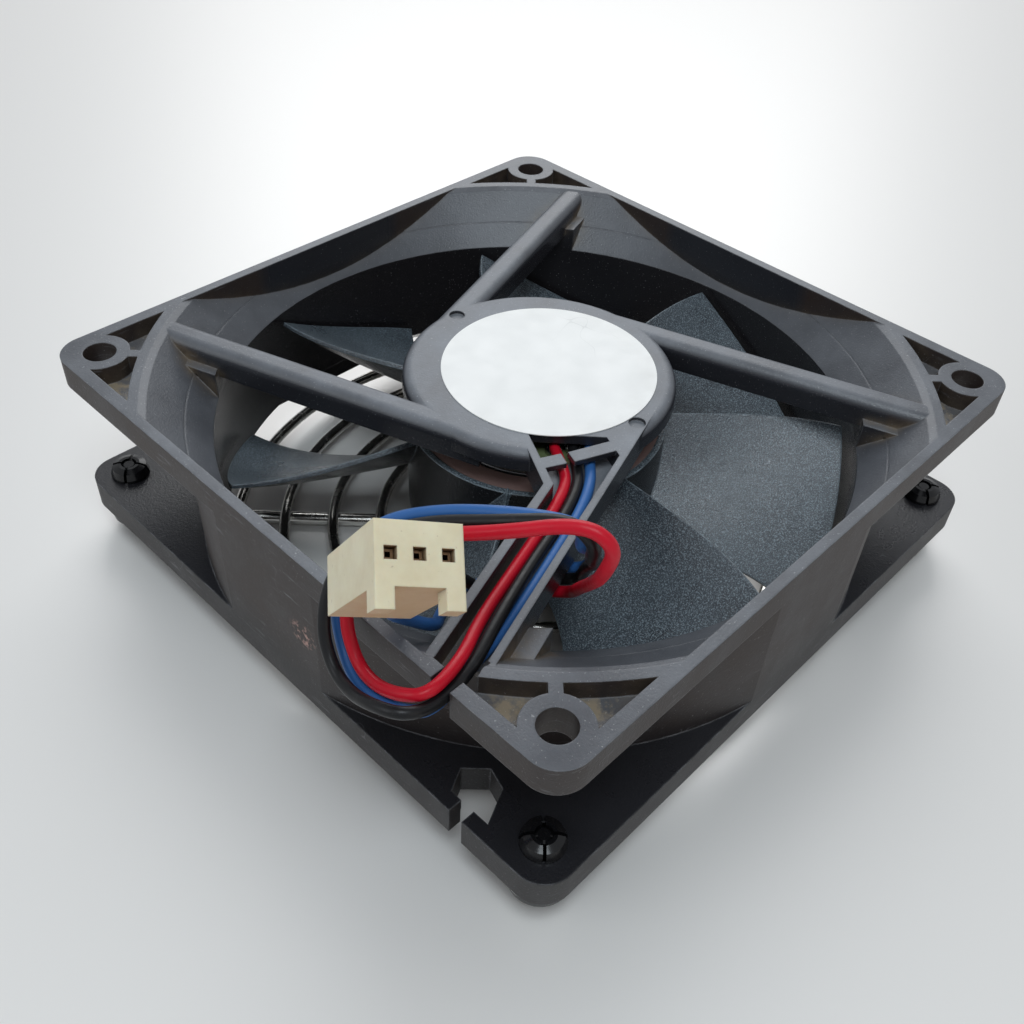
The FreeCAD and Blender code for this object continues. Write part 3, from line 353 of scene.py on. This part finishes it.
def ridges(tree, value, pitch):
    """Even ridges along a value, one to a pitch."""
    turned = times(tree, value, 2 * np.pi / pitch)
    return add(tree, "Math", {0: turned}, operation="SINE").outputs[0]


dress(clouded("turned_brass", BRASS, (0.22, 0.36), Metallic=1.0)[0], "bearing_tube", "shaft_bush")
lamination, tree, surface, place = clouded("stacked_laminations", LAMINATION, (0.34, 0.55), Metallic=0.9)
layers = ridges(tree, add(tree, "SeparateXYZ", {0: place}).outputs["Z"], LAMINATION_PITCH)
relief(tree, surface, layers, LAMINATION_RELIEF)
dress(lamination, "stator_core")
dress(clouded("bobbin_nylon", BOBBIN_NYLON, (0.40, 0.55))[0], "upper_bobbin", "lower_bobbin")
winding, tree, surface, place = clouded(
    "enamelled_copper", COPPER, (0.20, 0.34), Metallic=0.85, Coat_Weight=0.4)
relief(tree, surface, ridges(tree, from_axis(tree, place), WINDING_PITCH), WINDING_RELIEF)
dress(winding, "stator_coils")
tape = clouded("yellow_tape", TAPE_YELLOW, (0.22, 0.40), 500, 0.03 * MM, 0.18, Coat_Weight=0.3)[0]
dress(tape, "coil_tapes")
dress(clouded("tinned_pins", TIN, (0.25, 0.42), Metallic=1.0)[0], "winding_pins")


# The circuit board lies under the motor base, a thin laminate with a green mask and a sawn rim.
# It carries a driver chip, a magnetic sensor, four resistors and a capacitor, and each lead ends on
# it in a small dome of solder.
BOARD_GREEN = (0.150, 0.190, 0.085, 1)
BOARD_RIM = (0.420, 0.350, 0.190, 1)
BOARD_RIM_RADIUS = 15.7 * MM
EPOXY = (0.020, 0.020, 0.021, 1)
CERAMIC = (0.30, 0.22, 0.13, 1)
SOLDER = (0.50, 0.50, 0.48, 1)
SOLDER_RADIUS = 1.15 * MM
SOLDER_HEIGHT = 1.30 * MM
SOLDER_PLACES = ((-8.4, -10.6), (-6.2, -11.8), (-4.2, -13.1))

board, tree, surface, place = clouded("masked_laminate", BOARD_GREEN, (0.28, 0.45), 1500)
rim = ramp(tree, from_axis(tree, place), BOARD_RIM_RADIUS - 0.2 * MM, BOARD_RIM_RADIUS)
weave = mix(tree, noise(tree, place, 900, 4), BOARD_GREEN, tuple(0.6 * c for c in BOARD_GREEN[:3]) + (1,))
tree.links.new(mix(tree, rim, weave, BOARD_RIM), surface.inputs["Base Color"])
dress(board, "circuit_board")
dress(clouded("moulded_epoxy", EPOXY, (0.45, 0.62))[0], "driver_chip", "hall_sensor")
dress(clouded("film_resistor", EPOXY, (0.30, 0.42))[0], "resistors")
dress(clouded("ceramic_capacitor", CERAMIC, (0.35, 0.50))[0], "capacitor")


def sheet(name, points, material):
    """A closed mesh over a grid of points, rows by columns by three, whose columns close on themselves.

    The first and last rows shrink to one point each, so every row but those keeps its own ring of corners.
    """
    rows, columns = points.shape[0] - 2, points.shape[1]
    corners = np.concatenate([points[:1, 0], points[1:-1].reshape(-1, 3), points[-1:, 0]])
    ring = 1 + np.arange(rows)[:, None] * columns + np.arange(columns)
    after = np.roll(ring, -1, axis=1)
    quads = np.stack([ring[:-1], after[:-1], after[1:], ring[1:]], axis=2).reshape(-1, 4)
    below = np.stack([after[0], ring[0], np.zeros(columns, int)], axis=1)
    above = np.stack([ring[-1], after[-1], np.full(columns, len(corners) - 1)], axis=1)
    mesh = bpy.data.meshes.new(name)
    mesh.from_pydata(corners.tolist(), [], quads.tolist() + below.tolist() + above.tolist())
    mesh.shade_smooth()
    mesh.materials.append(material)
    piece = bpy.data.objects.new(name, mesh)
    bpy.context.scene.collection.objects.link(piece)
    return piece


def drop(centre, radius, height, rows=14, columns=28):
    """A drop of solder.

    Each ring is as wide as the cosine of one angle and rises as its sine, in full above and a tenth below.
    """
    tilt = np.linspace(-np.pi / 2, np.pi / 2, rows)[:, None]
    turn = np.linspace(0, 2 * np.pi, columns, endpoint=False)[None, :]
    rise = np.where(tilt < 0, 0.1, 1.0) * height * np.sin(tilt)
    ring = radius * np.cos(tilt)
    return np.stack([ring * np.cos(turn), ring * np.sin(turn), rise + 0 * turn], axis=2) + centre


solder = clouded("solder", SOLDER, (0.14, 0.30), 2200, 0.02 * MM, 0.3, Metallic=1.0)[0]
board_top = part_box("circuit_board")[1][2]
for lead, spot in zip(("red", "black", "blue"), SOLDER_PLACES):
    centre = np.array((spot[0] * MM, spot[1] * MM, board_top))
    joint = sheet("solder_" + lead, drop(centre, SOLDER_RADIUS, SOLDER_HEIGHT), solder)
    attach(joint, "frame")


# Two ball bearings run in the tube, ground steel races and balls in pressed cages. The shaft is
# ground steel, held by a spring clip, and a thin spring keeps the bearings pressed together.
STEEL = (0.60, 0.60, 0.61, 1)
CAGE_STEEL = (0.46, 0.45, 0.43, 1)
SPRING_STEEL = (0.30, 0.30, 0.32, 1)

steel = clouded("ground_steel", STEEL, (0.10, 0.20), 2400, 0.002 * MM, 0.10, Metallic=1.0)[0]
cage = clouded("pressed_cage", CAGE_STEEL, (0.28, 0.42), Metallic=1.0)[0]
for bearing in ("lower_bearing", "upper_bearing"):
    dress(steel, bearing + "_inner_race", bearing + "_outer_race", bearing + "_balls")
    dress(cage, bearing + "_cage")
dress(steel, "shaft")
spring = clouded("spring_steel", SPRING_STEEL, (0.25, 0.38), Metallic=1.0)[0]
dress(spring, "retaining_clip", "preload_spring")


# The impeller is one blue-black moulding, seven twisted blades on a cup, satin, with fine pale
# flecks of dust that cling to it, a bluish dust film and pale grain on its tops that are also painted
# sheen and glints, and painted shade on the faces that don't look up. A plated steel cup and a brown
# ring of bonded ferrite sit inside.
IMPELLER_BLACK = (0.020, 0.023, 0.029, 1)
IMPELLER_PALE = (0.036, 0.041, 0.050, 1)
IMPELLER_DUST_AND_SHEEN = (0.076, 0.102, 0.124, 1)
IMPELLER_PAINTED_SHADE = (0.009, 0.009, 0.010, 1)
IMPELLER_FLECK = (0.46, 0.48, 0.52, 1)
IMPELLER_WEAR_GRAIN_AND_GLINT = (0.270, 0.335, 0.378, 1)
IMPELLER_GRAIN_PER_METRE = 5200
IMPELLER_GRAIN_DEPTH = 0.07 * MM
IMPELLER_EDGE = 0.35 * MM
ZINC = (0.42, 0.42, 0.44, 1)
FERRITE = (0.260, 0.168, 0.152, 1)

impeller_finish, tree, surface, place = shader("impeller_moulding", Specular_IOR_Level=0.5)
facing = upness(tree)
upward = ramp(tree, facing, 0.25, 0.9)
rounded, edge = edges(tree, IMPELLER_EDGE)
# A bluish film of dust on up-facing faces, which is also painted sheen.
dust_and_sheen = times(tree, upward, ramp(tree, noise(tree, place, 95, 5, 0.62), 0.30, 0.72, 0.12, 0.54))
flecks = most(tree, ramp(tree, noise(tree, place, 4200, 1), 0.70, 0.76),
              ramp(tree, noise(tree, place, 1500, 2), 0.735, 0.775))
flecks = times(tree, flecks, ramp(tree, facing, -0.1, 0.5, 0.15, 0.75),
               ramp(tree, noise(tree, place, 60, 3), 0.35, 0.65, 0.3, 1.0))
# Pale grain on up-facing faces that is also painted glints; worn edges take the same pale colour.
grain = times(tree, upward, ramp(tree, noise(tree, place, 5600, 2, 0.6), 0.49, 0.66, 0.0, 0.85))
worn = times(tree, edge, ramp(tree, noise(tree, place, 500, 4), 0.36, 0.62, 0.25, 0.95))
colour = mix(tree, noise(tree, place, 80, 4), IMPELLER_BLACK, IMPELLER_PALE)
# Painted shade: faces that don't look up, the cup's side and the blades' undersides, are painted darker.
colour = mix(tree, ramp(tree, facing, 0.25, 0.05), colour, IMPELLER_PAINTED_SHADE)
colour = mix(tree, dust_and_sheen, colour, IMPELLER_DUST_AND_SHEEN)
colour = mix(tree, most(tree, grain, worn), colour, IMPELLER_WEAR_GRAIN_AND_GLINT)
hairs = times(tree, hairlines(tree, place, 160, 0.003, 0.34), 0.3)
colour = mix(tree, most(tree, flecks, hairs), colour, IMPELLER_FLECK)
tree.links.new(colour, surface.inputs["Base Color"])
tree.links.new(ramp(tree, most(tree, dust_and_sheen, flecks), 0.0, 0.8, 0.22, 0.40), surface.inputs["Roughness"])
relief(tree, surface, noise(tree, place, IMPELLER_GRAIN_PER_METRE, 2, 0.6), IMPELLER_GRAIN_DEPTH, rounded)
dress(impeller_finish, "impeller")
dress(clouded("zinc_plated_steel", ZINC, (0.30, 0.45), Metallic=1.0)[0], "rotor_yoke")
dress(clouded("bonded_ferrite", FERRITE, (0.50, 0.66), 1800, 0.02 * MM)[0], "magnet_ring")


# The label is a round of white polyester film stuck on the motor base, bare, faintly soiled towards
# its rim, with a few hair scratches and a soft ripple from the adhesive.
LABEL_WHITE = (0.86, 0.86, 0.845, 1)
LABEL_SOILED = (0.80, 0.795, 0.775, 1)
LABEL_SCRATCH = (0.60, 0.60, 0.59, 1)
LABEL_RADIUS = 14.5 * MM
LABEL_SOIL = 3 * MM

label_finish, tree, surface, place = shader("label_film", Specular_IOR_Level=0.45)
soil = times(tree, ramp(tree, from_axis(tree, place), LABEL_RADIUS - LABEL_SOIL, LABEL_RADIUS, 0.15, 1.0),
             ramp(tree, noise(tree, place, 220, 5, 0.65), 0.40, 0.70))
colour = mix(tree, soil, LABEL_WHITE, LABEL_SOILED)
colour = mix(tree, times(tree, hairlines(tree, place, 110, 0.0025, 0.45), 0.5), colour, LABEL_SCRATCH)
tree.links.new(colour, surface.inputs["Base Color"])
tree.links.new(ramp(tree, noise(tree, place, 320, 4), 0.3, 0.7, 0.34, 0.52), surface.inputs["Roughness"])
relief(tree, surface, noise(tree, place, 130, 2), 0.05 * MM)
dress(label_finish, "label")


# The finger guard is drawn steel wire, rings resistance-welded to four support wires and then nickel
# plated, bright with dull and stained stretches. Snap rivets of glossy black nylon hold its eyelets.
NICKEL = (0.58, 0.57, 0.545, 1)
NICKEL_STAIN = (0.30, 0.26, 0.21, 1)
RIVET_BLACK = (0.007, 0.007, 0.008, 1)

guard_finish, tree, surface, place = shader("nickel_plated_wire", Metallic=1.0)
stain = ramp(tree, noise(tree, place, 240, 5, 0.65), 0.52, 0.72)
tree.links.new(mix(tree, stain, NICKEL, NICKEL_STAIN), surface.inputs["Base Color"])
tree.links.new(ramp(tree, noise(tree, place, 500, 4), 0.3, 0.7, 0.14, 0.30), surface.inputs["Roughness"])
relief(tree, surface, noise(tree, place, 900, 2), 0.004 * MM)
dress(guard_finish, "finger_guard")
dress(clouded("rivet_nylon", RIVET_BLACK, (0.12, 0.22), 1500, 0.006 * MM, 0.2, Specular_IOR_Level=0.3)[0],
      "guard_rivets", "guard_rivet_pins")


# The plug is a moulded nylon housing in ivory, a little translucent, with yellowed corners and dirty
# specks, painted warm shade underneath and deep brown painted shade in its holes, and three tinned
# contacts pushed into it from behind until they latch, painted dark as the shade in the holes.
IVORY = (0.84, 0.77, 0.56, 1)
IVORY_YELLOWED = (0.66, 0.545, 0.350, 1)
IVORY_DIRT = (0.30, 0.19, 0.10, 1)
IVORY_PAINTED_UNDERSHADE = (0.560, 0.330, 0.175, 1)
IVORY_PAINTED_HOLLOW_SHADE = (0.170, 0.080, 0.034, 1)
PLUG_EDGE = 0.22 * MM
PLUG_WAY = 1.6 * MM
TINNED_BRASS_IN_PAINTED_SHADE = (0.19, 0.115, 0.065, 1)

plug_finish, tree, surface, place = shader(
    "ivory_nylon", Subsurface_Weight=0.22, Subsurface_Radius=(1.0, 0.62, 0.32), Subsurface_Scale=1.0 * MM,
    Specular_IOR_Level=0.45)
rounded = edges(tree, PLUG_EDGE)[0]
aged = ramp(tree, noise(tree, place, 190, 5, 0.6), 0.36, 0.74, 0.0, 0.7)
dirt = times(tree, ramp(tree, noise(tree, place, 1900, 3, 0.6), 0.68, 0.76), 0.5)
colour = mix(tree, aged, IVORY, IVORY_YELLOWED)
# Painted shade: faces that look down are painted a warm darker brown.
colour = mix(tree, ramp(tree, upness(tree), -0.15, -0.6), colour, IVORY_PAINTED_UNDERSHADE)
# Painted shade: the holes and recesses are painted deep brown, where shade falls in them.
colour = mix(tree, crevices(tree, PLUG_WAY, 0.62, 0.22), colour, IVORY_PAINTED_HOLLOW_SHADE)
tree.links.new(mix(tree, dirt, colour, IVORY_DIRT), surface.inputs["Base Color"])
tree.links.new(ramp(tree, noise(tree, place, 700, 3), 0.3, 0.7, 0.38, 0.54), surface.inputs["Roughness"])
relief(tree, surface, noise(tree, place, 2600, 2), 0.015 * MM, rounded, 0.6)
dress(plug_finish, "plug_housing")
# Painted shade: the contacts are painted dark brown, as they look in the shade of the plug's holes.
dress(clouded("tinned_brass", TINNED_BRASS_IN_PAINTED_SHADE, (0.26, 0.42), Metallic=1.0)[0], "plug_contacts")


# The three leads are thin stranded wires in soft plastic insulation, red, black and blue.
# They are soldered to the board, led under two fingers and down the channel, looped once over and
# under the channel's strut by hand, and crimped into the plug, which they hold up in the air.
LEAD_DIAMETER = 1.4 * MM
LEADS = {
    "lead_red": {"slot": "red_insulation", "colour": (0.52, 0.005, 0.020, 1), "length": 0.1639, "route": (
        (-8.4, -10.6, 27.5), (-10.4, -13.4, 28.1), (-13.0, -17.1, 28.4), (-19.0, -19.6, 28.2),
        (-27.6, -22.6, 28.4), (-36.2, -25.7, 28.9), (-42.2, -29.05, 30.1), (-47.8, -30.3, 30.5),
        (-49.4, -27.4, 29.4), (-49.4, -23.8, 27.8), (-48.9, -20.6, 28.0), (-47.9, -17.8, 31.4),
        (-46.2, -17.4, 36.0), (-44.2, -19.6, 40.6), (-42.6, -24.4, 44.6), (-40.2, -31.4, 48.2),
        (-36.1, -37.5, 51.0), (-34.9, -40.6, 49.4), (-34.5, -39.2, 44.5), (-29.6, -34.6, 36.4),
        (-25.9, -30.4, 29.7), (-23.2, -27.3, 24.4), (-26.6, -23.5, 24.6), (-33.3, -21.3, 24.9),
        (-36.0, -20.2, 28.4), (-40.5, -19.6, 33.4), (-44.8, -21.0, 36.8), (-48.7, -22.3, 39.6),
        (-48.85, -24.5, 42.6))},
    "lead_black": {"slot": "black_insulation", "colour": (0.006, 0.006, 0.007, 1), "length": 0.174, "route": (
        (-6.2, -11.8, 27.5), (-8.7, -14.4, 28.1), (-12.1, -18.2, 28.4), (-18.0, -20.9, 28.2),
        (-27.0, -24.0, 28.9), (-36.4, -27.9, 29.7), (-42.0, -30.3, 29.3), (-47.4, -30.65, 28.7),
        (-50.8, -30.2, 30.1), (-51.9, -26.9, 29.4), (-51.6, -23.0, 27.4), (-50.9, -19.2, 27.4),
        (-49.8, -16.4, 30.6), (-47.0, -14.8, 34.8), (-43.4, -16.6, 39.0), (-41.2, -22.4, 43.9),
        (-38.8, -30.2, 47.8), (-35.4, -35.6, 49.6), (-34.3, -37.9, 47.4), (-32.8, -36.3, 43.2),
        (-27.3, -33.5, 37.0), (-23.5, -29.2, 30.5), (-21.2, -26.6, 24.4), (-24.5, -22.8, 24.6),
        (-30.8, -20.4, 24.9), (-33.6, -19.2, 28.8), (-40.5, -18.0, 34.8), (-46.0, -19.5, 36.2),
        (-50.8, -21.0, 40.2), (-50.95, -23.27, 43.36))},
    "lead_blue": {"slot": "blue_insulation", "colour": (0.030, 0.115, 0.330, 1), "length": 0.17, "route": (
        (-4.2, -13.1, 27.45), (-7.1, -15.3, 28.2), (-11.2, -19.3, 28.4), (-17.0, -22.1, 28.2),
        (-26.1, -25.3, 28.2), (-35.8, -28.3, 28.1), (-41.2, -29.2, 28.1), (-46.8, -29.9, 26.9),
        (-49.3, -28.8, 27.8), (-50.3, -25.2, 27.1), (-49.8, -21.6, 26.2), (-48.7, -18.2, 27.6),
        (-47.2, -15.4, 31.2), (-44.6, -14.4, 35.4), (-41.7, -16.2, 39.8), (-39.6, -22.0, 44.0),
        (-37.2, -28.6, 46.9), (-34.1, -34.0, 47.6), (-32.0, -34.7, 45.2), (-31.6, -34.1, 42.4),
        (-25.8, -31.7, 36.8), (-21.6, -28.6, 30.5), (-19.2, -26.0, 24.4), (-22.4, -22.1, 24.6),
        (-28.4, -19.5, 24.4), (-33.3, -18.2, 24.4), (-37.1, -20.2, 25.2), (-39.6, -22.5, 27.6),
        (-43.0, -21.8, 30.8), (-46.0, -22.2, 34.6), (-46.6, -23.6, 38.9), (-46.75, -25.7, 41.8))},
}


def insulation(name, colour):
    """Soft extruded plastic: an even colour with faint clouding, small scuffs and a waxy gloss."""
    material, tree, surface, place = shader(
        name, Specular_IOR_Level=0.20, Coat_Weight=0.05, Coat_Roughness=0.2)
    paler = tuple(min(1.0, 1.2 * c + 0.004) for c in colour[:3]) + (1,)
    worn = tuple(0.7 * c + 0.03 for c in colour[:3]) + (1,)
    scuff = ramp(tree, noise(tree, place, 900, 4, 0.65), 0.60, 0.72, 0.0, 0.35)
    shade = mix(tree, noise(tree, place, 160, 3), colour, paler)
    tree.links.new(mix(tree, scuff, shade, worn), surface.inputs["Base Color"])
    tree.links.new(ramp(tree, noise(tree, place, 700, 3), 0.3, 0.7, 0.30, 0.46), surface.inputs["Roughness"])
    relief(tree, surface, noise(tree, place, 1500, 2), 0.02 * MM)
    return material


for name, lead in LEADS.items():
    curve = bpy.data.curves.new(name + "_wire", "CURVE")
    curve.dimensions = "3D"
    curve.bevel_depth = LEAD_DIAMETER / 2
    curve.bevel_resolution = 5
    curve.resolution_u = 10
    curve.use_fill_caps = True
    route = np.array(lead["route"]) * MM
    spline = curve.splines.new("NURBS")
    spline.points.add(len(route) - 1)
    spline.points.foreach_set("co", np.column_stack([route, np.ones(len(route))]).ravel())
    spline.order_u = 3
    spline.use_endpoint_u = True
    curve.materials.append(insulation(lead["slot"], lead["colour"]))
    wire = bpy.data.objects.new(name + "_wire", curve)
    bpy.context.scene.collection.objects.link(wire)
    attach(wire, "frame")
    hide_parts(name)
